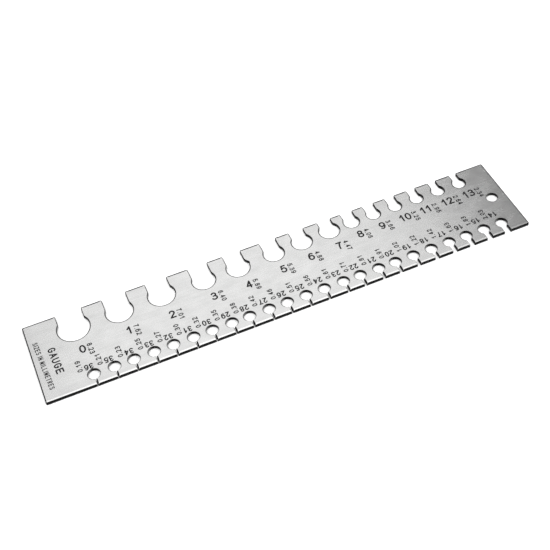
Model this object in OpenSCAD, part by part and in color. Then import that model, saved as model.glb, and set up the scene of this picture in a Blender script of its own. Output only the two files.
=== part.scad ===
// Wire gauge plate: one flat sheet of steel with a graded opening for every standard wire size.
// Coarse wires go into the notches of the upper long edge, fine wires into the slots of the lower one.
// Each opening is a parallel throat of the wire's own size that ends in a round relief hole.
// The plate lies flat with its middle at the origin, its length along X and its upper edge at +Y.

/* [Plate] */
// Length of the plate
plate_l = 160; // [140:0.5:240]
// Width of the plate from the slotted edge to the notched edge
plate_w = 30.75; // [26:0.25:60]
// Thickness of the sheet
plate_t = 1; // [0.5:0.1:4]
// Radius of the four corners of the plate
corner_r = 0.4; // [0.1:0.1:4]

/* [Coarse notches] */
// From the left end to the middle of the first notch
coarse_start = 14.8; // [11:0.1:24]
// From the middle of the last notch to the right end
coarse_end = 11.1; // [9:0.1:24]
// Radius of the two corners of each mouth
coarse_mouth_r = 0.5; // [0.1:0.05:1]
// Radius of the bend from each throat into its relief hole
coarse_neck_r = 1; // [0.1:0.05:1.5]

/* [Relief holes of the coarse notches] */
// Diameter behind gauge 0
relief_d_first = 10.2; // [9:0.1:11.8]
// Diameter behind gauges 1 and 2
relief_d_broad = 8.7; // [8:0.1:10]
// Diameter behind gauges 3 and 4
relief_d_large = 7.5; // [6.8:0.1:8.6]
// Diameter behind gauges 5 to 7
relief_d_middle = 6.7; // [5.8:0.1:7.6]
// Diameter behind gauge 8
relief_d_small = 5.2; // [4.5:0.1:6]
// Diameter behind gauge 9
relief_d_narrow = 4.6; // [4.1:0.1:5.6]
// Diameter behind gauges 10 to 13
relief_d_last = 4.3; // [3.7:0.1:5.2]

/* [Fine slots] */
// From the left end to the middle of the finest slot
fine_start = 16; // [10:0.1:30]
// From the middle of the widest slot to the right end
fine_end = 8; // [6:0.1:20]
// Diameter of the relief hole behind each slot
fine_relief_d = 3.8; // [3:0.1:5]
// From the lower edge to the middle of the relief holes
fine_rise = 4.2; // [3.2:0.1:7]
// Radius of the two corners of each mouth
fine_mouth_r = 0.1; // [0.05:0.05:0.6]
// Radius of the bend from each slot into its relief hole
fine_neck_r = 0.1; // [0.05:0.05:0.6]

/* [Hanging hole] */
// Diameter of the hole
hang_d = 3.8; // [2:0.1:6]
// From the middle of the hole to the right end
hang_end = 4.7; // [3.5:0.05:6]

/* [Hidden] */
// Wire sizes of gauges 0 to 36 in thousandths of an inch, as the standard states them
gauge_mils = [
    324, 300, 276, 252, 232, 212, 192, 176, 160, 144, 128, 116, 104, 92,
    80, 72, 64, 56, 48, 40, 36, 32, 28, 24, 22, 20, 18,
    16.4, 14.8, 13.6, 12.4, 11.6, 10.8, 10, 9.2, 8.4, 7.6
];
mil = 0.0254;
// Coarse notches from gauge 0 on: step from the notch before, relief diameter, depth of its middle
coarse_table = [
    [0, relief_d_first, 6.9],
    [14.8, relief_d_broad, 6.9],
    [14, relief_d_broad, 6.5],
    [14, relief_d_large, 6.7],
    [11.65, relief_d_large, 6.7],
    [12.5, relief_d_middle, 6.1],
    [10, relief_d_middle, 5.5],
    [9.9, relief_d_middle, 5],
    [8.05, relief_d_small, 4.7],
    [7.85, relief_d_narrow, 4.7],
    [7.85, relief_d_last, 4.7],
    [7.85, relief_d_last, 4.7],
    [7.8, relief_d_last, 4.7],
    [7.85, relief_d_last, 4.7]
];
// Fine slots from the left on: how far each one stands to the right of its even place
fine_shifts = [
    -0.2, 0, -0.1, 0.1, 0.05, 0.3, 0.15, 0.35, -0.05, 0.2, 0.05, 0.15,
    0.1, 0.4, -0.05, 0.15, -0.25, -0.2, -0.05, 0.1, 0, 0.15, 0.3
];
coarse_count = len(coarse_table);
fine_count = len(gauge_mils) - coarse_count;
coarse_run = plate_l - coarse_start - coarse_end;
fine_pitch = (plate_l - fine_start - fine_end) / (fine_count - 1);
// A neck bend dips this far into its relief hole, so that the two arcs cross and don't just touch
neck_lap = 0.0005;
// Cutters reach this far beyond the faces and edges that they break through
over = 1;
$fn = 64;

// Width of the throat for one gauge number
function throat(gauge) = gauge_mils[gauge] * mil;

// Sum of the coarse steps up to and including one notch
function steps_to(notch) = notch < 0 ? 0 : coarse_table[notch][0] + steps_to(notch - 1);

// The coarse steps keep their proportions and together fill the run between the two end distances
function coarse_x(notch) =
    coarse_start - plate_l / 2 + coarse_run * steps_to(notch) / steps_to(coarse_count - 1);

// The finest slot is at the left end, so gauge numbers fall from left to right
function fine_x(slot) = fine_start - plate_l / 2 + slot * fine_pitch + fine_shifts[slot];
function fine_gauge(slot) = len(gauge_mils) - 1 - slot;

// Height above the relief's middle at which a neck bend leaves the straight side of the throat
function neck_rise(half_w, relief_r, neck_r) =
    sqrt(max(0, pow(relief_r - neck_lap + neck_r, 2) - pow(half_w + neck_r, 2)));

// Rectangle with round corners, centred on the origin
module rounded_rectangle(length, width, radius) {
    square([length - 2 * radius, width], center = true);
    square([length, width - 2 * radius], center = true);
    for (x = [-1, 1], y = [-1, 1])
        translate([x * (length / 2 - radius), y * (width / 2 - radius)]) circle(radius);
}

// Outline of one opening: the edge of the plate is y = 0 and the metal lies below it
module opening(half_w, relief_r, depth, mouth_r, neck_r) {
    rise = neck_rise(half_w, relief_r, neck_r);
    translate([0, -depth]) circle(relief_r);
    translate([-half_w, -depth]) square([2 * half_w, depth + over]);
    for (side = [0, 1]) mirror([side, 0]) {
        // Bend from the straight side of the throat into the relief hole
        difference() {
            polygon([[0, -depth], [0, rise - depth], [half_w + neck_r, rise - depth]]);
            translate([half_w + neck_r, rise - depth]) circle(neck_r);
        }
        // Round corner of the mouth
        difference() {
            translate([0, -mouth_r]) square([half_w + mouth_r, mouth_r + over]);
            translate([half_w + mouth_r, -mouth_r]) circle(mouth_r);
            translate([half_w + mouth_r, 0]) square([over, over]);
        }
    }
}

module coarse_notches() {
    for (notch = [0 : coarse_count - 1])
        translate([coarse_x(notch), plate_w / 2])
            opening(
                throat(notch) / 2, coarse_table[notch][1] / 2, coarse_table[notch][2],
                coarse_mouth_r, coarse_neck_r
            );
}

module fine_slots() {
    for (slot = [0 : fine_count - 1])
        translate([fine_x(slot), -plate_w / 2])
            rotate(180)
                opening(throat(fine_gauge(slot)) / 2, fine_relief_d / 2, fine_rise, fine_mouth_r, fine_neck_r);
}

module hanging_hole() {
    translate([plate_l / 2 - hang_end, 0, -over]) cylinder(h = plate_t + 2 * over, d = hang_d);
}

module gauge_plate() {
    color([0.78, 0.78, 0.77])
        difference() {
            linear_extrude(plate_t)
                difference() {
                    rounded_rectangle(plate_l, plate_w, corner_r);
                    coarse_notches();
                    fine_slots();
                }
            hanging_hole();
        }
}

gauge_plate();
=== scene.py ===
# %% [markdown]
# # A wire gauge plate in brushed steel
# The real object is one flat sheet of stainless steel. A wire is tried in its notches until one fits, and
# the number beside that notch is the wire's gauge. The solid model gives the size and the place of the
# plate. This lesson gives it what the solid lacks: edges that are eased by tumbling, etched and blackened
# figures, and a brushed finish.

import bpy
import numpy as np
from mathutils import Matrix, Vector
from mathutils.geometry import delaunay_2d_cdt


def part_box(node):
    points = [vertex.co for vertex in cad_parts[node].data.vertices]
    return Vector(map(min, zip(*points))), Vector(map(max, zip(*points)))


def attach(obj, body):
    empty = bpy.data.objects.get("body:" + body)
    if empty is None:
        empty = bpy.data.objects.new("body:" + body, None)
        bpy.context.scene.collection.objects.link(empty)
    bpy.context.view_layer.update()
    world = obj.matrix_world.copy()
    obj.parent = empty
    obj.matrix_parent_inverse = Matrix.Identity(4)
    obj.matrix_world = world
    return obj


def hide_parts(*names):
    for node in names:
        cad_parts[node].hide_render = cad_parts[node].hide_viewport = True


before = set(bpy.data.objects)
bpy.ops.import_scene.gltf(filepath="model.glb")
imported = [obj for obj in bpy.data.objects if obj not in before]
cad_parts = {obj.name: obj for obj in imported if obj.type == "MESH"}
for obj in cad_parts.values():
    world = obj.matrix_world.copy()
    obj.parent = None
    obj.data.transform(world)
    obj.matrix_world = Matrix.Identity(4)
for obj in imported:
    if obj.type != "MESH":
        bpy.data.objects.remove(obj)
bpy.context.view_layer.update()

MM = 0.001
NODE = "gauge_plate"
low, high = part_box(NODE)
plate_l, plate_w, plate_t = [side / MM for side in high - low]
print("plate in mm:", round(plate_l, 3), round(plate_w, 3), round(plate_t, 3))

# %% [markdown]
# ## The camera
# The photograph looks down on the plate from the front left, through a moderately long lens. Setting the
# camera first means that every later choice can be judged in the picture that it is for. It could be
# aimed with a Track To constraint, but plain angles are easier to keep exact.

# %% Camera, with lengths in millimetres and angles in degrees
CAMERA_PLACE = (-66.09, -210.33, 253.31)
CAMERA_ANGLES = (40.952, 4.653, -22.395)
LENS, SENSOR_WIDTH = 70.01, 36.0
NEAREST = 10.0

camera = bpy.data.objects.new("camera", bpy.data.cameras.new("camera"))
camera.data.lens = LENS
camera.data.sensor_width = SENSOR_WIDTH
camera.data.clip_start = NEAREST * MM
camera.location = [value * MM for value in CAMERA_PLACE]
camera.rotation_euler = np.radians(CAMERA_ANGLES)
bpy.context.scene.collection.objects.link(camera)
bpy.context.scene.camera = camera
print("camera stands", round(camera.location.length, 3), "m from the plate's middle")

# %% [markdown]
# ## The sizes of the openings
# Every opening is as wide as a standard wire. The standard states those sizes in thousandths of an inch,
# so the list below is the standard's own. The coarse notches of the upper edge stand at steps of their
# own, and each has a round relief hole behind it. The fine slots of the lower edge aren't quite even on
# the real plate, so each one has its own small shift. A modifier that repeats one opening couldn't follow
# either row.

# %% Sizes, in millimetres
MIL = 0.0254
GAUGE_MILS = [
    324, 300, 276, 252, 232, 212, 192, 176, 160, 144, 128, 116, 104, 92,
    80, 72, 64, 56, 48, 40, 36, 32, 28, 24, 22, 20, 18,
    16.4, 14.8, 13.6, 12.4, 11.6, 10.8, 10, 9.2, 8.4, 7.6,
]
wire_sizes = np.array(GAUGE_MILS) * MIL

COARSE_START = 14.8
COARSE_STEPS = [0, 14.8, 14, 14, 11.65, 12.5, 10, 9.9, 8.05, 7.85, 7.85, 7.85, 7.8, 7.85]
COARSE_RELIEFS = [10.2, 8.7, 8.7, 7.5, 7.5, 6.7, 6.7, 6.7, 5.2, 4.6, 4.3, 4.3, 4.3, 4.3]
COARSE_DEPTHS = [6.9, 6.9, 6.5, 6.7, 6.7, 6.1, 5.5, 5, 4.7, 4.7, 4.7, 4.7, 4.7, 4.7]
COARSE_MOUTH, COARSE_NECK = 0.5, 1.0
FINE_START, FINE_END = 16.0, 8.0
FINE_RELIEF, FINE_RISE = 3.8, 4.2
FINE_MOUTH, FINE_NECK = 0.1, 0.1
FINE_SHIFTS = [
    -0.2, 0, -0.1, 0.1, 0.05, 0.3, 0.15, 0.35, -0.05, 0.2, 0.05, 0.15,
    0.1, 0.4, -0.05, 0.15, -0.25, -0.2, -0.05, 0.1, 0, 0.15, 0.3,
]

coarse_count = len(COARSE_STEPS)
fine_count = len(wire_sizes) - coarse_count
coarse_x = COARSE_START - plate_l / 2 + np.cumsum(COARSE_STEPS)
fine_even = np.linspace(FINE_START - plate_l / 2, plate_l / 2 - FINE_END, fine_count)
fine_x = fine_even + FINE_SHIFTS
fine_gauges = np.arange(len(wire_sizes) - 1, coarse_count - 1, -1)
print(coarse_count, "coarse notches and", fine_count, "fine slots")

# %% [markdown]
# ## The outline as a path
# The edge of the plate is one closed path that dips into every opening. It could be cut out with
# booleans, but a path that is worked out from arcs has even steps and exact normals, and those normals
# are what a rounded edge needs. A straight stretch needs no points but those at its ends.

# %% Arcs and single points
ARC_STEP = 7.0
FEWEST_POINTS = 3


def arc_points(cx, cy, radius, start, end):
    """Points and metal-side normals of an arc: centre plus radius times (cos a, sin a), a in degrees.

    An arc that turns left bulges outwards, so its metal lies towards its centre, and the other way round.
    """
    count = max(FEWEST_POINTS, int(np.ceil(abs(end - start) / ARC_STEP)) + 1)
    angle = np.radians(np.linspace(start, end, count))
    ray = np.stack([np.cos(angle), np.sin(angle)], axis=1)
    return np.array([cx, cy]) + radius * ray, -np.sign(end - start) * ray


def spot(x, y, metal_x, metal_y):
    """One point of a straight stretch, with the way into the metal."""
    return np.array([[x, y]]), np.array([[metal_x, metal_y]])


def eased(arc, ease):
    """The points and normals of an arc, with how far the edge is eased at each of them."""
    points, normals = arc
    return points, normals, np.broadcast_to(ease, len(points))


print("a quarter round has", len(arc_points(0, 0, 1, 0, 90)[0]), "points")

# %% [markdown]
# ## One opening
# A wire slides in through a mouth with round corners, and a round relief hole behind the throat lets it
# out again. The path runs through both halves of an opening, and its left half is drawn as a right one and
# then mirrored. Tumbling doesn't ease every stretch alike, so each one also says how far its edge is eased.
# One number for the whole plate would be simpler, but a small corner can't carry the wide easing of a long
# edge.

# %% Path through one opening
RIM_REACH = 3.2
EDGE_SHOULDER, THROAT_SHOULDER = 0.15, 0.2
RELIEF_RAMP = 1 / 6
MIRROR = np.array([-1, 1])


def half_opening(half, rise, depth, mouth, neck, lean, ease, throat_ease):
    """The right half of an opening in an edge at y = 0: edge, mouth arc, side of the throat, neck arc.

    Straight stretches end a shoulder before a corner, so that their wider rims don't cross the corner's.
    """
    edge_x = half + mouth + EDGE_SHOULDER + RIM_REACH * throat_ease
    return [
        eased(spot(edge_x, 0.0, 0, -1), ease["edge"]),
        eased(arc_points(half + mouth, -mouth, mouth, 90, 180), ease["corner"]),
        eased(spot(half, -mouth - THROAT_SHOULDER, 1, 0), throat_ease),
        eased(spot(half, rise - depth + THROAT_SHOULDER, 1, 0), throat_ease),
        eased(arc_points(half + neck, rise - depth, neck, 180, 180 + lean), ease["corner"]),
    ]


def mirrored(arcs):
    """The same arcs on the other side of x = 0, in the other order, so that the path runs on."""
    return [
        (points[::-1] * MIRROR, normals[::-1] * MIRROR, eases[::-1])
        for points, normals, eases in arcs[::-1]
    ]


def opening_path(width, relief, depth, mouth, neck, ease):
    """Right to left through one opening in an edge at y = 0: right half, relief, and the left half back up.

    A neck arc touches both the throat's side and the relief circle, so its centre lies neck beyond the side
    and at the distance relief plus neck from the relief's middle. The relief starts one step after the neck.
    """
    half, radius = width / 2, relief / 2
    rise = np.sqrt((radius + neck) ** 2 - (half + neck) ** 2)
    lean = np.degrees(np.arctan2(rise, half + neck))
    right, left = [
        half_opening(half, rise, depth, mouth, neck, lean, ease, ease[side]) for side in ("right", "left")
    ]
    hole = arc_points(0, -depth, radius, lean - ARC_STEP, -180 - lean + ARC_STEP)
    from_middle = np.abs(np.linspace(-0.5, 0.5, len(hole[0])))
    share = np.clip((0.5 - from_middle) / RELIEF_RAMP, 0, 1)
    relief_arc = eased(hole, ease["corner"] + (ease["relief"] - ease["corner"]) * share)
    return right + [relief_arc] + mirrored(left)


print("rims reach", RIM_REACH, "times the easing into the face")

# %% [markdown]
# ## The whole outline
# The path starts at the lower left corner and runs anticlockwise: fine slots, right end, coarse notches,
# left end. The fine slots are eased more on one side than on the other, as on the real plate, where that
# side shows a dark line. One wall has a nick. It could be sculpted by hand, but a bell-shaped dent that
# moves the nearest points into the metal is easier to place.

# %% Notches and slots in their places
COARSE_EASE = {"edge": 0.17, "corner": 0.1, "right": 0.08, "left": 0.08, "relief": 0.1}
FINE_EASE = {"edge": 0.1, "corner": 0.028, "right": 0.031, "left": 0.13, "relief": 0.06}


def moved(arcs, x, y, half_turn=False):
    """The same arcs shifted to (x, y), after a half turn in the plane if asked for."""
    sign = -1 if half_turn else 1
    return [(sign * points + np.array([x, y]), sign * normals, eases) for points, normals, eases in arcs]


fine_arcs = []
for x, gauge in zip(fine_x, fine_gauges):
    slot = opening_path(wire_sizes[gauge], FINE_RELIEF, FINE_RISE, FINE_MOUTH, FINE_NECK, FINE_EASE)
    fine_arcs += moved(slot, x, -plate_w / 2, half_turn=True)
coarse_arcs = []
for gauge in reversed(range(coarse_count)):
    relief, depth = COARSE_RELIEFS[gauge], COARSE_DEPTHS[gauge]
    notch = opening_path(wire_sizes[gauge], relief, depth, COARSE_MOUTH, COARSE_NECK, COARSE_EASE)
    coarse_arcs += moved(notch, coarse_x[gauge], plate_w / 2)
print(len(fine_arcs), "arcs and points in the lower edge,", len(coarse_arcs), "in the upper one")

# %% Outline of the plate
CORNER = 0.4
HANG_D, HANG_END = 3.8, 4.7
END_EASE, HANG_EASE = 0.12, 0.05
NICK_PLACE, NICK_REACH, NICK_DEPTH = (-7.1, 9.45), 0.5, 0.4

corner_x, corner_y = plate_l / 2 - CORNER, plate_w / 2 - CORNER
lower_left = eased(arc_points(-corner_x, -corner_y, CORNER, 180, 270), END_EASE)
lower_right = eased(arc_points(corner_x, -corner_y, CORNER, 270, 360), END_EASE)
upper_right = eased(arc_points(corner_x, corner_y, CORNER, 0, 90), END_EASE)
upper_left = eased(arc_points(-corner_x, corner_y, CORNER, 90, 180), END_EASE)
outline_arcs = [lower_left, *fine_arcs, lower_right, upper_right, *coarse_arcs, upper_left]
outline, outline_metal, outline_ease = [np.concatenate(rows) for rows in zip(*outline_arcs)]
from_nick = np.linalg.norm(outline - NICK_PLACE, axis=1, keepdims=True)
outline = outline + NICK_DEPTH * np.exp(-((from_nick / NICK_REACH) ** 2)) * outline_metal

hang = eased(arc_points(plate_l / 2 - HANG_END, 0, HANG_D / 2, 360, 0), HANG_EASE)
hang_hole, hang_metal, hang_ease = [rows[:-1] for rows in hang]
print("outline of", len(outline), "points, hanging hole of", len(hang_hole))

# %% [markdown]
# ## The edges
# Stamped steel leaves a sharp edge, and tumbling takes it off: the real rim is a tiny quarter round that
# shows as a fine line. A Bevel modifier could round it, but it struggles with slots that are a fifth of a
# millimetre wide. Here the section of the edge is carried along the outline instead. Each point of the
# section is a distance into the metal and a height, and the outline's normals say which way the metal
# lies. All points are rounded to the same few decimals, so that the faces that are made later meet them
# exactly.

# %% Edge section carried along the outline
EASE_STEPS = 4
WELD_DIGITS = 4
RIM_BANDS = [RIM_REACH, 2.6]


def edge_section():
    """Flat bands and then a quarter round, as (inset, drop) for an edge that is eased by one."""
    angle = np.linspace(0, np.pi / 2, EASE_STEPS + 1)
    inset = np.concatenate([RIM_BANDS, 1 - np.sin(angle)])
    drop = np.concatenate([np.zeros(len(RIM_BANDS)), 1 - np.cos(angle)])
    return inset, drop


def carried_edge(points, metal, ease):
    """Grid P(i, j) = point i moved ease i times inset j into the metal, at the section's height j.

    The lower quarter round is the upper one in the other order, with its drops as heights above the floor.
    """
    inset, drop = edge_section()
    below = slice(None, -EASE_STEPS - 2, -1)
    insets = ease[:, None] * np.concatenate([inset, inset[below]])
    drops = ease[:, None] * drop
    heights = np.concatenate([plate_t - drops, drops[:, below]], axis=1)
    flat = points[:, None, :] + insets[:, :, None] * metal[:, None, :]
    return np.round(np.concatenate([flat, heights[:, :, None]], axis=2), WELD_DIGITS)


def grid_triangles(rows, columns):
    """Two triangles for each cell of a grid that closes on itself along its rows, facing outwards."""
    i, j = np.meshgrid(np.arange(rows), np.arange(columns - 1), indexing="ij")
    here = i * columns + j
    beside = (i + 1) % rows * columns + j
    upper = np.stack([here, here + 1, beside + 1], axis=-1)
    lower = np.stack([here, beside + 1, beside], axis=-1)
    return np.concatenate([upper.reshape(-1, 3), lower.reshape(-1, 3)])


edge_grids = [
    carried_edge(outline, outline_metal, outline_ease),
    carried_edge(hang_hole, hang_metal, hang_ease),
]
print("edge grids:", [grid.shape[:2] for grid in edge_grids])

# %% [markdown]
# ## The figures as strokes
# The figures on the plate have one even stroke, as an engraving tool draws them. A Text object would
# bring a printer's font, so each figure here is a few straight lines and arcs in a box that is one wide
# and one high, and a ribbon with round ends is carried along each of them. The same strokes serve for the
# bold gauge numbers and for the fine sizes beside them: only the height and the stroke change.

# %% Strokes of the figures
# A row of 4 numbers is a line from one point to another.
# A row of 6 is an arc: middle, radii, first and last angle.
SIX = [(0.5, 0.32, 0.5, 0.32, 90, 270), (0.5, 0.32, 0.5, 0.32, -90, 90), (0.58, 0.38, 0.58, 0.62, 180, 55)]
FIGURES = {
    "0": [(0.5, 0.5, 0.5, 0.5, 90, 270), (0.5, 0.5, 0.5, 0.5, -90, 90)],
    "1": [(0.62, 0, 0.62, 1), (0.14, 0.7, 0.62, 1)],
    "2": [(0.48, 0.72, 0.46, 0.28, 165, -38), (0.84, 0.55, 0, 0), (0, 0, 1, 0)],
    "3": [
        (0.46, 0.765, 0.42, 0.235, 155, -90), (0.46, 0.265, 0.52, 0.265, 90, -155),
        (0.3, 0.53, 0.46, 0.53),
    ],
    "4": [(0.74, 1, 0.74, 0), (0.74, 1, 0, 0.27), (0, 0.27, 1, 0.27)],
    "5": [(0.92, 1, 0.2, 1), (0.2, 1, 0.08, 0.48), (0.47, 0.325, 0.53, 0.325, 145, -155)],
    "6": SIX,
    "7": [(0, 1, 1, 1), (1.1, 0, 0.74, 1.05, 107, 180)],
    "8": [
        (0.5, 0.765, 0.42, 0.235, 90, 270), (0.5, 0.765, 0.42, 0.235, -90, 90),
        (0.5, 0.265, 0.5, 0.265, 90, 270), (0.5, 0.265, 0.5, 0.265, -90, 90),
    ],
    ".": [(0.5, 0, 0.5, 0.01)],
    "A": [(0, 0, 0.5, 1), (0.5, 1, 1, 0), (0.2, 0.34, 0.8, 0.34)],
    "E": [(0, 0, 0, 1), (0, 1, 1, 1), (0, 0.52, 0.85, 0.52), (0, 0, 1, 0)],
    "G": [
        (0.5, 0.5, 0.5, 0.5, 40, 180), (0.5, 0.5, 0.5, 0.5, 180, 345),
        (1, 0.38, 1, 0.48), (0.6, 0.48, 1, 0.48),
    ],
    "I": [(0.5, 0, 0.5, 1)],
    "L": [(0, 1, 0, 0), (0, 0, 1, 0)],
    "M": [(0, 0, 0, 1), (0, 1, 0.5, 0.2), (0.5, 0.2, 1, 1), (1, 1, 1, 0)],
    "N": [(0, 0, 0, 1), (0, 1, 1, 0), (1, 0, 1, 1)],
    "R": [
        (0, 0, 0, 1), (0, 1, 0.5, 1), (0.5, 0.76, 0.48, 0.24, 90, -90),
        (0.5, 0.52, 0, 0.52), (0.5, 0.52, 1, 0),
    ],
    "S": [(0.5, 0.76, 0.46, 0.24, 25, 270), (0.5, 0.26, 0.5, 0.26, 90, -155)],
    "T": [(0, 1, 1, 1), (0.5, 0, 0.5, 1)],
    "U": [(0, 1, 0, 0.38), (0.5, 0.38, 0.5, 0.38, 180, 360), (1, 0.38, 1, 1)],
    "Z": [(0, 1, 1, 1), (1, 1, 0, 0), (0, 0, 1, 0)],
    " ": [],
}
FIGURES["9"] = [(1 - u, 1 - v, ru, rv, first + 180, last + 180) for u, v, ru, rv, first, last in SIX]
NARROW = ".I "
print("strokes drawn for", len(FIGURES), "figures")

# %% Ribbons along the strokes
LINE_NUMBERS = 4
STROKE_STEP = 18.0
CAP_STEPS = 5


def stroke_path(row):
    """Points along one stroke: both ends of a line, or even angles along an elliptic arc."""
    if len(row) == LINE_NUMBERS:
        return np.array(row, dtype=float).reshape(2, 2)
    u, v, ru, rv, first, last = row
    count = int(np.ceil(abs(last - first) / STROKE_STEP)) + 1
    angle = np.radians(np.linspace(first, last, count))
    return np.stack([u + ru * np.cos(angle), v + rv * np.sin(angle)], axis=1)


def ribbon(path, half):
    """Outline of a ribbon: the path moved half to its right, a round end, back on its left, round start."""
    along = np.gradient(path, axis=0)
    along /= np.linalg.norm(along, axis=1, keepdims=True)
    left = half * np.stack([-along[:, 1], along[:, 0]], axis=1)
    turn = np.radians(np.linspace(-90, 90, CAP_STEPS + 2)[1:-1])[:, None]
    ahead, aside = half * np.cos(turn), np.sin(turn)
    end_cap = path[-1] + ahead * along[-1] + aside * left[-1]
    start_cap = path[0] - ahead * along[0] - aside * left[0]
    return np.concatenate([path - left, end_cap, (path + left)[::-1], start_cap])


def written(text, height, width, gap, stroke):
    """Ribbons for a row of figures from (0, 0) on, each scaled into its own box, and the row's length."""
    ribbons, pen = [], 0.0
    for figure in text:
        box_w = stroke if figure in NARROW else width
        size = np.array([box_w - stroke, height - stroke])
        corner = np.array([pen + stroke / 2, stroke / 2])
        ribbons += [ribbon(corner + stroke_path(row) * size, stroke / 2) for row in FIGURES[figure]]
        pen += box_w + gap
    return ribbons, pen - gap


def placed(ribbons, x, y, degrees):
    """The ribbons turned about their origin and then moved to (x, y)."""
    turn = np.radians(degrees)
    matrix = np.array([[np.cos(turn), np.sin(turn)], [-np.sin(turn), np.cos(turn)]])
    return [points @ matrix + np.array([x, y]) for points in ribbons]


print("a straight ribbon has", len(ribbon(stroke_path((0, 0, 1, 0)), 0.1)), "points")

# %% [markdown]
# ## Setting out the figures
# Each coarse notch has its gauge number below it, and to the right of the number the wire's size, turned
# to read downwards. Each fine slot has the same pair, but made to be read with the plate turned half
# round. The row of fine numbers climbs a little from left to right, as it does on the real plate. A plain
# legend stands at the left end. Even places would be simpler, but on the real plate they aren't even.

# %% Figures set out on the plate
NUMBER_TOPS = [0.85, 1.45, 1.5, 2.6, 2.2, 3.3, 4.2, 4.4, 6.05, 6.2, 6.2, 6.3, 6.4, 6.4]
NUMBER_SHIFTS = [0.4, 0.65, 0.6, 0.8, 0.6, 0.3, 0.2, 0.3, 0.3, 0.35, 0.65, 0.35, 0.45, 0.45]
NUMBER = {"height": 3.1, "width": 2.05, "gap": 0.08, "stroke": 0.54}
SMALL_NUMBER = {"height": 2.15, "width": 1.33, "gap": 0.17, "stroke": 0.4}
SIZE = {"height": 1.7, "width": 1.08, "gap": 0.27, "stroke": 0.32}
SIZE_GAP, SIZE_DROP = 0.5, 0.25
FINE_BASE_LEFT, FINE_BASE_RIGHT = -9.08, -7.95
FINE_SHIFT = -0.45
FIRST_SHIFTS = [-0.45, -0.4, -0.2]
DOWNWARDS, UPWARDS, HALF_ROUND = -90, 90, 180
# A half and a little more, because a product of decimals can fall just short of a half
ROUND_UP = 0.5001


def size_text(gauge):
    """Wire size in millimetres: hundredths, rounded upwards from a half of the usual three places."""
    hundredths = int(np.round(wire_sizes[gauge], 3) * 100 + ROUND_UP)
    return "%d.%02d" % divmod(hundredths, 100)


ribbons = []
for gauge in range(coarse_count):
    number, length = written(str(gauge), **NUMBER)
    left = coarse_x[gauge] + NUMBER_SHIFTS[gauge] - length / 2
    top = NUMBER_TOPS[gauge]
    ribbons += placed(number, left, top - NUMBER["height"], 0)
    size = written(size_text(gauge), **SIZE)[0]
    ribbons += placed(size, left + length + SIZE_GAP, top - SIZE_DROP, DOWNWARDS)

fine_bases = np.linspace(FINE_BASE_LEFT, FINE_BASE_RIGHT, fine_count)
number_x = fine_even + FINE_SHIFT
number_x[:len(FIRST_SHIFTS)] += FIRST_SHIFTS
for x, gauge, base in zip(number_x, fine_gauges, fine_bases):
    number, length = written(str(gauge), **SMALL_NUMBER)
    right = x + length / 2
    ribbons += placed(number, right, base + SMALL_NUMBER["height"], HALF_ROUND)
    size = written(size_text(gauge), **SIZE)[0]
    ribbons += placed(size, right - length - SIZE_GAP, base + SIZE_DROP, UPWARDS)
print(len(ribbons), "ribbons for", len(wire_sizes), "numbers and sizes")

# %% Legend
LEGEND = {"height": 2.5, "width": 1.76, "gap": 0.4, "stroke": 0.47}
SMALL_LEGEND = {"height": 1.65, "width": 0.88, "gap": 0.27, "stroke": 0.28}
LEGENDS = [("GAUGE", LEGEND, (-74.85, 3.8)), ("SIZES IN MILLIMETRES", SMALL_LEGEND, (-78.5, 7.9))]
LEGEND_TILT = 2.3

for text, style, (x, y) in LEGENDS:
    legend, length = written(text, **style)
    ribbons += placed(legend, x, y, DOWNWARDS + LEGEND_TILT)
    print("a legend of", len(legend), "ribbons is", round(length, 1), "mm long")

# %% [markdown]
# ## Etching the figures into the face
# Acid or a laser sinks the figures a few hundredths of a millimetre and leaves them black. Painting them
# in the shader would blur their edges in a bake, so they are cut as real recesses. A planar triangulation
# takes the rim, the hole and every ribbon at once, and says for each triangle which of them it lies in.
# Overlapping ribbons join by themselves.

# %% Flat triangles and upright walls
RIM, HOLE, FIGURE = 0, 1, 2
INSIDE_LOOPS = 1
MERGE_REACH = 1e-6


def triangulated(loops):
    """Triangles of overlapping loops that all run anticlockwise, with a table of what each triangle lies in.

    The first loop is the rim, the second one the hole, and all others are ribbons of figures.
    """
    counts = [len(loop) for loop in loops]
    starts = np.cumsum([0] + counts[:-1])
    faces = [list(range(start, start + count)) for start, count in zip(starts, counts)]
    points = [Vector(point) for point in np.concatenate(loops)]
    coords, _, triangles, _, _, owners = delaunay_2d_cdt(points, [], faces, INSIDE_LOOPS, MERGE_REACH, True)
    inside = [(RIM in owner, HOLE in owner, max(owner, default=RIM) > HOLE) for owner in owners]
    return np.array(coords), np.array(triangles), np.array(inside)


def raised(flat, height):
    """Points of the plane lifted to one height."""
    return np.concatenate([flat, np.full((len(flat), 1), height)], axis=1)


def border_walls(triangles, flat, top, bottom):
    """Upright wall along every edge that only one triangle has: points, and triangles that face outwards."""
    edges = np.concatenate([triangles[:, [0, 1]], triangles[:, [1, 2]], triangles[:, [2, 0]]])
    _, first, count = np.unique(np.sort(edges, axis=1), axis=0, return_index=True, return_counts=True)
    start, end = edges[first[count == 1]].T
    number = len(start)
    corners = [(start, top), (end, top), (start, bottom), (end, bottom)]
    points = np.concatenate([raised(flat[index], height) for index, height in corners])
    i = np.arange(number)
    quads = np.stack([i, i + 2 * number, i + 3 * number, i + number], axis=1)
    return points, np.concatenate([quads[:, [0, 1, 2]], quads[:, [0, 2, 3]]])


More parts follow.
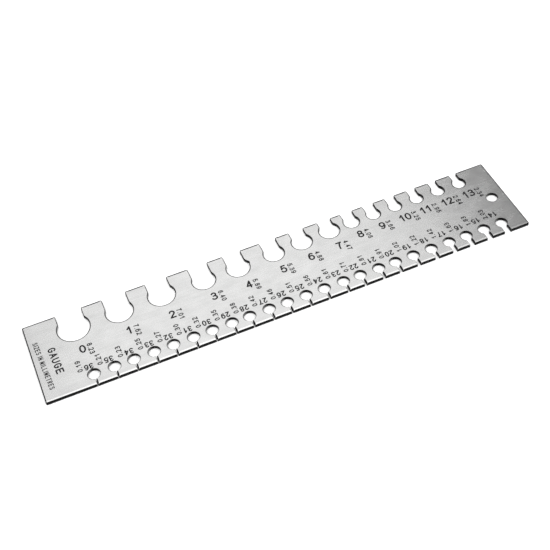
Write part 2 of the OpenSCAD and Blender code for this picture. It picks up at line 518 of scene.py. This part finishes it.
rims = [edge_grids[RIM][:, 0, :2], edge_grids[HOLE][::-1, 0, :2]]
flat, triangles, inside = triangulated(rims + ribbons)
metal = inside[:, RIM] & ~inside[:, HOLE]
etched = triangles[metal & inside[:, FIGURE]]
plain = triangles[metal & ~inside[:, FIGURE]]
lower_rims = [edge_grids[RIM][:, -1, :2], edge_grids[HOLE][::-1, -1, :2]]
under_flat, under_triangles, under_inside = triangulated(lower_rims)
under = under_triangles[under_inside[:, RIM] & ~under_inside[:, HOLE]]
print(len(plain), "triangles of bare face,", len(etched), "of etched floor,", len(under), "below")

# %% [markdown]
# ## Putting the meshes together
# The edge, the faces and the recesses were made apart, so points that fall together are welded first. A
# Weld modifier could do it, but numpy does it in a few lines. Whole arrays then go into the mesh in one
# step each. Only the edge is shaded smooth: the flat faces have to stay flat.

# %% Meshes from parts

def welded(points, triangles):
    """Points that fall together become one: which points and triangles stay, and the new corners."""
    rounded = np.round(points, WELD_DIGITS)
    _, first, index = np.unique(rounded, axis=0, return_index=True, return_inverse=True)
    corners = first[index.ravel()[triangles]]
    a, b, c = corners.T
    whole = (a != b) & (b != c) & (c != a)
    kept, corners = np.unique(corners[whole], return_inverse=True)
    return kept, whole, corners.reshape(-1, 3)


def piece_from(name, parts):
    """Mesh object from parts of (points in mm, triangles, smooth or not, cut_edge_and_shade of each point)."""
    point_sets, triangle_sets, smooth_sets, cut_sets = zip(*parts)
    counts = [len(rows) for rows in point_sets]
    offsets = np.cumsum([0] + counts[:-1])
    points = np.concatenate(point_sets)
    triangles = np.concatenate([rows + offset for rows, offset in zip(triangle_sets, offsets)])
    smooth = np.concatenate([np.full(len(rows), flag) for rows, flag in zip(triangle_sets, smooth_sets)])
    cut = np.concatenate([np.broadcast_to(values, count) for values, count in zip(cut_sets, counts)])
    kept, whole, corners = welded(points, triangles)
    mesh = bpy.data.meshes.new(name)
    mesh.vertices.add(len(kept))
    mesh.vertices.foreach_set("co", (points[kept] * MM).astype(np.float32).ravel())
    mesh.loops.add(corners.size)
    mesh.loops.foreach_set("vertex_index", corners.astype(np.int32).ravel())
    mesh.polygons.add(len(corners))
    mesh.polygons.foreach_set("loop_start", np.arange(0, corners.size, 3, dtype=np.int32))
    mesh.polygons.foreach_set("use_smooth", smooth[whole])
    mesh.update(calc_edges=True)
    attribute = mesh.attributes.new("cut_edge_and_shade", "FLOAT", "POINT")
    attribute.data.foreach_set("value", cut[kept].astype(np.float32))
    piece = bpy.data.objects.new(name, mesh)
    bpy.context.scene.collection.objects.link(piece)
    print(name, "has", len(kept), "points and", len(corners), "triangles")
    return piece


# %% [markdown]
# ## The plate and its figures
# The plate is one shell: edge, bare face, recesses and underside. An attribute on the cut edge is 0 on its
# faces and 1 on the darkest cut metal, and the finish reads it for the rougher cut metal and for painted
# shade: the dark rims and walls are painted shade for the dark room that they mirror. A mask over the
# coordinates could say the same, but it couldn't follow every throat. The black in the recesses is a piece
# of its own, a little below the face.

# %% Pieces
ETCH_DEPTH, FILL_DEPTH = 0.05, 0.012
# Painted light on the walls: lighter where they face right, and a little lighter at their foot.
RIGHT_PAINTED_LIGHT, FOOT_PAINTED_LIGHT = 0.5, 0.2


def edge_tone(metal_side):
    """Share of cut metal and its painted shade at each point: none on the face, all on the rim, then the
    wall's.

    The wall's share falls with the way out of the metal along X, so that walls that face right are painted
    the brightest, as painted light, and it falls a little round the lower edge, which is painted lighter
    too.
    """
    wall = 1 - RIGHT_PAINTED_LIGHT * np.clip(-metal_side[:, :1], 0, 1)
    step = np.linspace(0, 1, EASE_STEPS + 1)
    bands = [np.zeros_like(wall), np.ones_like(wall)]
    return np.concatenate([*bands, 1 + (wall - 1) * step, wall * (1 - FOOT_PAINTED_LIGHT * step)], axis=1)


plate_parts = []
for grid, metal_side in zip(edge_grids, (outline_metal, hang_metal)):
    rows, columns = grid.shape[:2]
    cut_and_shade_share = edge_tone(metal_side).ravel()
    plate_parts.append((grid.reshape(-1, 3), grid_triangles(rows, columns), True, cut_and_shade_share))
floor_height = plate_t - ETCH_DEPTH
recess_points, recess_triangles = border_walls(etched, flat, plate_t, floor_height)
plate_parts += [
    (raised(flat, plate_t), plain, False, 0.0),
    (raised(flat, floor_height), etched, False, 0.0),
    (recess_points, recess_triangles[:, ::-1], False, 0.0),
    (raised(under_flat, 0.0), under[:, ::-1], False, 0.0),
]
plate = piece_from("plate_skin", plate_parts)

fill_top = plate_t - FILL_DEPTH
fill_points, fill_triangles = border_walls(etched, flat, fill_top, floor_height)
fill = piece_from("etched_figures", [
    (raised(flat, fill_top), etched, False, 0.0),
    (raised(flat, floor_height), etched[:, ::-1], False, 0.0),
    (fill_points, fill_triangles, False, 0.0),
])

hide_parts(NODE)
for piece in (plate, fill):
    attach(piece, "root")

# %% [markdown]
# ## Shader maths as Python
# A finish is a formula over the surface. Built by hand it is a tangle of Math nodes, so one small class
# wraps a socket and lets plain Python expressions add those nodes. Any other node comes from one method.

# %% Sockets that do arithmetic

class Value:
    """A number that varies over the surface: arithmetic on it adds Math nodes to its finish."""

    def __init__(self, finish, socket):
        self.finish = finish
        self.socket = socket

    def maths(self, operation, first, second, clamp=False):
        """One Math node on two numbers or values, with its result kept between 0 and 1 if asked for."""
        settings = {"operation": operation, "use_clamp": clamp}
        return self.finish.add("ShaderNodeMath", settings, {0: first, 1: second})

    def __add__(self, other):
        return self.maths("ADD", self, other)

    def __radd__(self, other):
        return self.maths("ADD", other, self)

    def __sub__(self, other):
        return self.maths("SUBTRACT", self, other)

    def __rsub__(self, other):
        return self.maths("SUBTRACT", other, self)

    def __mul__(self, other):
        return self.maths("MULTIPLY", self, other)

    def __rmul__(self, other):
        return self.maths("MULTIPLY", other, self)

    def clipped(self):
        """The same value, kept between 0 and 1."""
        return self.maths("ADD", self, 0.0, clamp=True)


print("values add, subtract and multiply, from either side")

# %% Finishes
NOISE_DETAIL, NOISE_ROUGHNESS = 3.0, 0.55


class Finish:
    """One material with its node tree, its Principled shader and the piece's own coordinates."""

    def __init__(self, name):
        self.material = bpy.data.materials.new(name)
        self.material.use_nodes = True
        self.tree = self.material.node_tree
        self.shader = self.tree.nodes["Principled BSDF"]
        self.place = self.add("ShaderNodeTexCoord", {}, {}, "Object")

    def add(self, kind, settings, sockets, output=0):
        """Add a node of this kind, set it up, then fill its sockets with numbers or links."""
        node = self.tree.nodes.new(kind)
        for key, value in settings.items():
            setattr(node, key, value)
        for key, value in sockets.items():
            self.feed(node.inputs[key], value)
        return Value(self, node.outputs[output])

    def feed(self, socket, value):
        """Link a varying value to a socket, or set a constant on it."""
        if isinstance(value, Value):
            self.tree.links.new(value.socket, socket)
        else:
            socket.default_value = value

    def set(self, **sockets):
        """Feed sockets of the shader by their names, with _ for a space."""
        for key, value in sockets.items():
            self.feed(self.shader.inputs[key.replace("_", " ")], value)

    def noise(self, grain):
        """Noise between 0 and 1 whose grains are about this long in metres along X, Y and Z."""
        scale = [1 / length for length in grain]
        place = self.add("ShaderNodeMapping", {}, {"Vector": self.place, "Scale": scale})
        sockets = {"Vector": place, "Scale": 1.0, "Detail": NOISE_DETAIL, "Roughness": NOISE_ROUGHNESS}
        return self.add("ShaderNodeTexNoise", {}, sockets, "Fac")

    def mixed(self, share, first, second):
        """Colour that goes from the first to the second as share goes from 0 to 1."""
        settings = {"data_type": "RGBA"}
        return self.add("ShaderNodeMix", settings, {"Factor": share, "A": first, "B": second}, "Result")


print("finishes read object coordinates, in metres")

# %% [markdown]
# ## Brushed steel
# The sheet is brushed along its length, so its grain is long in X and very fine in Y. The cut walls are
# another surface: bare torn metal and rougher, with painted shade that makes them near black, and painted
# light where they face right. The front rim is paler: a painted highlight mixes it towards bright steel.
# Anisotropic reflection could stand for the grain, but a bake loses it, so the grain is drawn into the
# roughness, the colour and a faint bump.

# %% Finish of the plate, with lengths in metres
FINE_GRAIN, BROAD_GRAIN = (0.012, 0.00011, 0.002), (0.02, 0.0007, 0.004)
CLOUD_GRAIN, TORN_GRAIN = (0.006, 0.004, 0.01), (0.00012, 0.00012, 0.0006)
STEEL_DARK, STEEL_PALE = (0.4, 0.4, 0.398, 1), (0.62, 0.62, 0.616, 1)
# Painted shade: the near black of rims and walls stands for the dark room they mirror; torn grain varies it.
WALL_SHADE_DARK, WALL_SHADE_PALE = (0.002, 0.002, 0.002, 1), (0.01, 0.01, 0.01, 1)
TONE = {"least": -0.15, "fine": 0.3, "broad": 0.3, "clouds": 0.7}
ROUGH = {"least": 0.19, "fine": 0.06, "clouds": 0.08, "cut": 0.18}
# Painted highlight: a pale band along the front edge of the face, fading inwards.
HIGHLIGHT_COLOUR, HIGHLIGHT_SHARE = (0.95, 0.95, 0.945, 1), 0.6
HIGHLIGHT_REACH, HIGHLIGHT_FADE = 0.001, 0.0004
BROAD_HEIGHT, BUMP_STRENGTH, BUMP_DISTANCE = 0.5, 0.06, 0.00002

steel = Finish("brushed_steel")
fine_grain = steel.noise(FINE_GRAIN)
broad_grain = steel.noise(BROAD_GRAIN)
clouds = steel.noise(CLOUD_GRAIN)
torn = steel.noise(TORN_GRAIN)
# The cut edge attribute carries the rougher cut metal and the painted shade of rims and walls.
cut_edge_and_shade = steel.add("ShaderNodeAttribute", {"attribute_name": "cut_edge_and_shade"}, {}, "Fac")
along_y = steel.add("ShaderNodeSeparateXYZ", {}, {"Vector": steel.place}, "Y")
# The front band is a painted highlight laid over the brushed colour of the face.
highlight_end = HIGHLIGHT_REACH - plate_w / 2 * MM
painted_front_highlight = ((highlight_end - along_y) * (1 / HIGHLIGHT_FADE)).clipped()
tone = TONE["fine"] * fine_grain + TONE["broad"] * broad_grain + TONE["clouds"] * clouds + TONE["least"]
brushed = steel.mixed(tone.clipped(), STEEL_DARK, STEEL_PALE)
face_with_highlight = steel.mixed(HIGHLIGHT_SHARE * painted_front_highlight, brushed, HIGHLIGHT_COLOUR)
wall_shade_colour = steel.mixed(torn, WALL_SHADE_DARK, WALL_SHADE_PALE)
grain_height = fine_grain + BROAD_HEIGHT * broad_grain
bump_sockets = {"Strength": BUMP_STRENGTH, "Distance": BUMP_DISTANCE, "Height": grain_height}
roughness = ROUGH["fine"] * fine_grain + ROUGH["clouds"] * clouds + ROUGH["cut"] * cut_edge_and_shade + ROUGH["least"]
# Base colour goes from the face with its painted highlight to the painted shade of the walls.
steel.set(
    Metallic=1.0,
    Base_Color=steel.mixed(cut_edge_and_shade, face_with_highlight, wall_shade_colour),
    Roughness=roughness,
    Normal=steel.add("ShaderNodeBump", {}, bump_sockets),
)
plate.data.materials.append(steel.material)
print("brushed steel uses", len(steel.tree.nodes), "nodes")

# %% [markdown]
# ## Blackened figures
# The floor of an etched figure is a thin dark oxide, matt and a little uneven. It is no metal to the eye.
# It could be plain black, but a tone that wanders a little looks less like print.

# %% Finish of the figures
OXIDE_GRAIN = (0.0004, 0.0004, 0.0004)
OXIDE_DARK, OXIDE_PALE = (0.004, 0.004, 0.004, 1), (0.02, 0.02, 0.021, 1)
OXIDE_ROUGHNESS, OXIDE_WANDER = 0.55, 0.2
OXIDE_GLOSS = 0.12

oxide = Finish("etched_black")
wander = oxide.noise(OXIDE_GRAIN)
oxide.set(
    Metallic=0.0,
    Base_Color=oxide.mixed(wander, OXIDE_DARK, OXIDE_PALE),
    Roughness=OXIDE_ROUGHNESS + OXIDE_WANDER * wander,
    Specular_IOR_Level=OXIDE_GLOSS,
)
fill.data.materials.append(oxide.material)
print("etched black uses", len(oxide.tree.nodes), "nodes")

# %% [markdown]
# ## Floor
# The photograph was taken on pure white. A plain sheet of pale paper does the same here. A shadow catcher
# could stand in for it, but its picture needs work after the render.

# %% Floor, in metres
FLOOR_SIDE = 1.2
PAPER_COLOUR, PAPER_ROUGHNESS = (0.9, 0.9, 0.9, 1), 0.9

corners = [(x * FLOOR_SIDE / 2, y * FLOOR_SIDE / 2, 0) for x, y in ((-1, -1), (1, -1), (1, 1), (-1, 1))]
floor_mesh = bpy.data.meshes.new("floor")
floor_mesh.from_pydata(corners, [], [(0, 1, 2, 3)])
floor = bpy.data.objects.new("floor", floor_mesh)
bpy.context.scene.collection.objects.link(floor)
paper = Finish("white_paper")
paper.set(Base_Color=PAPER_COLOUR, Roughness=PAPER_ROUGHNESS)
floor.data.materials.append(paper.material)
print("floor is", FLOOR_SIDE, "m wide")

# %% [markdown]
# ## Soft lights
# The plate is a dull mirror, so what it shows is whatever stands where its reflection points. From the
# camera that is one round soft light behind it, which leaves the right end dimmer. Two high lights, left
# and right, whiten the floor and leave the narrow slots dark. A dome light alone would be simpler, but it
# fills the slots.

# %% Lights that all aim at the plate's middle, in metres and watts
SOFT_LIGHTS = {
    "back_soft": {"place": (0.066, 0.3, 0.48), "side": 0.46, "power": 0.755},
    "top_soft": {"place": (0.25, -0.05, 0.8), "side": 0.6, "power": 0.8},
    "left_soft": {"place": (-0.65, -0.1, 0.9), "side": 0.4, "power": 3.5},
    "right_soft": {"place": (0.65, -0.1, 0.9), "side": 0.4, "power": 3.5},
}

for name, soft in SOFT_LIGHTS.items():
    light = bpy.data.objects.new(name, bpy.data.lights.new(name, "AREA"))
    light.data.shape = "DISK"
    light.data.size = soft["side"]
    light.data.energy = soft["power"]
    light.location = soft["place"]
    aim = -Vector(soft["place"])
    light.rotation_euler = aim.to_track_quat("-Z", "Y").to_euler()
    bpy.context.scene.collection.objects.link(light)
print(len(SOFT_LIGHTS), "soft lights")

# %% [markdown]
# ## White room
# From other sides the plate mirrors the white room, so it looks like steel from there too. A room of one
# even white would wash out the picture from the camera, so the room is dim high up behind the plate: its
# strength follows how far a direction leans that way.

# %% White room
ROOM_LOW, ROOM_HIGH = 1.3, 0.1
LEAN, HIGH_FROM, HIGH_SPAN = (0.3, 0.45, 1.1), 0.97, 0.12
WHITE = (1, 1, 1, 1)


class Room(Finish):
    """The white room around the object: its strength may vary with the direction that it is seen in."""

    def __init__(self, name):
        self.world = bpy.data.worlds.new(name)
        self.world.use_nodes = True
        self.tree = self.world.node_tree
        self.shader = self.tree.nodes["Background"]
        self.place = self.add("ShaderNodeTexCoord", {}, {}, "Generated")


room = Room("studio")
leaning = room.add("ShaderNodeVectorMath", {"operation": "DOT_PRODUCT"}, {0: room.place, 1: LEAN}, "Value")
high_share = ((leaning - HIGH_FROM) * (1 / HIGH_SPAN)).clipped()
room.set(Color=WHITE, Strength=ROOM_LOW - (ROOM_LOW - ROOM_HIGH) * high_share)
bpy.context.scene.world = room.world
bpy.context.scene.view_settings.view_transform = "Standard"
print("room strength from", ROOM_HIGH, "to", ROOM_LOW)
